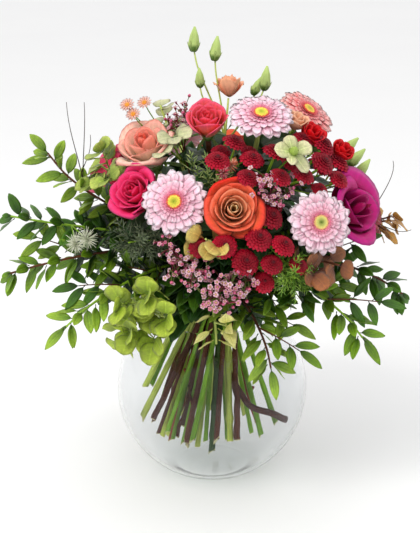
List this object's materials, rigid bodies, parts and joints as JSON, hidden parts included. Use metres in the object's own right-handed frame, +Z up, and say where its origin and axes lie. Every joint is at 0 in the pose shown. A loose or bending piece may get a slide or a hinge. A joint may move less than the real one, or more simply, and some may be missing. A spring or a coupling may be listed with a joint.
{
  "type": "mixed bouquet with gerberas in a round glass vase",
  "caption": "Round hand-tied bouquet of gerberas, roses, small button blooms and leafy branches, standing in a clear spherical glass bowl vase.",
  "frame": {"origin": "centre of the vase's flat base, on the surface that it stands on", "axes": "+Z up along the vase's axis, -Y towards the bouquet's front, +X to the right as seen from the front"},
  "size_m": [0.4065, 0.2971, 0.4623],
  "materials": {
    "clear_glass": "clear blown glass, smooth and colourless",
    "twine": "natural jute twine, wound tight, matte",
    "flower_stem": "fresh green stem, slightly waxy",
    "gerbera_pink": "pale pink petals with whitish tips, deeper pink towards a yellow-green disc",
    "gerbera_coral": "coral pink petals, soft matte",
    "rose_peach": "peach petals with orange-red edges, velvety",
    "rose_orange": "orange-red petals with a yellowish heart, velvety",
    "rose_coral": "coral pink petals, velvety",
    "rose_crimson": "crimson pink petals, velvety",
    "rose_magenta": "magenta petals, satin",
    "rose_dusty": "dusty red petals with pale streaks",
    "santini_crimson": "deep crimson button blooms on green stems, matte",
    "lisianthus_green": "pale green buds and one peach bloom, satin",
    "waxflower_pink": "tiny pink florets on thin maroon twigs",
    "ruscus_green": "pointed oval green leaves, slightly glossy, on brown twigs",
    "eucalyptus_leaf": "round yellow-green to olive leaves, waxy matte",
    "fern_green": "fine feathery green, matte"
  },
  "bodies": {
    "root": {"glass_vase": "clear_glass", "twine_tie": "twine", "gerbera_1_bloom": "gerbera_pink", "gerbera_1_stem": "flower_stem", "gerbera_2_bloom": "gerbera_pink", "gerbera_2_stem": "flower_stem", "gerbera_3_bloom": "gerbera_pink", "gerbera_3_stem": "flower_stem", "gerbera_4_bloom": "gerbera_coral", "gerbera_4_stem": "flower_stem", "gerbera_5_bloom": "gerbera_pink", "gerbera_5_stem": "flower_stem", "gerbera_6_bloom": "gerbera_pink", "gerbera_6_stem": "flower_stem", "rose_1_bloom": "rose_peach", "rose_1_stem": "flower_stem", "rose_2_bloom": "rose_orange", "rose_2_stem": "flower_stem", "rose_3_bloom": "rose_coral", "rose_3_stem": "flower_stem", "rose_4_bloom": "rose_crimson", "rose_4_stem": "flower_stem", "rose_5_bloom": "rose_magenta", "rose_5_stem": "flower_stem", "rose_6_bloom": "rose_dusty", "rose_6_stem": "flower_stem", "rose_7_bloom": "rose_orange", "rose_7_stem": "flower_stem", "rose_8_bloom": "rose_coral", "rose_8_stem": "flower_stem", "santini_1": "santini_crimson", "santini_2": "santini_crimson", "santini_3": "santini_crimson", "santini_4": "santini_crimson", "santini_5": "santini_crimson", "santini_6": "santini_crimson", "lisianthus_1": "lisianthus_green", "lisianthus_2": "lisianthus_green", "waxflower_1": "waxflower_pink", "waxflower_2": "waxflower_pink", "waxflower_3": "waxflower_pink", "waxflower_4": "waxflower_pink", "ruscus_1": "ruscus_green", "ruscus_2": "ruscus_green", "ruscus_3": "ruscus_green", "ruscus_4": "ruscus_green", "ruscus_5": "ruscus_green", "ruscus_6": "ruscus_green", "ruscus_7": "ruscus_green", "ruscus_8": "ruscus_green", "ruscus_9": "ruscus_green", "eucalyptus_1": "eucalyptus_leaf", "eucalyptus_2": "eucalyptus_leaf", "eucalyptus_3": "eucalyptus_leaf", "eucalyptus_4": "eucalyptus_leaf", "eucalyptus_5": "eucalyptus_leaf", "eucalyptus_6": "eucalyptus_leaf", "eucalyptus_7": "eucalyptus_leaf", "fern_1": "fern_green", "fern_2": "fern_green"}
  },
  "joints": []
}
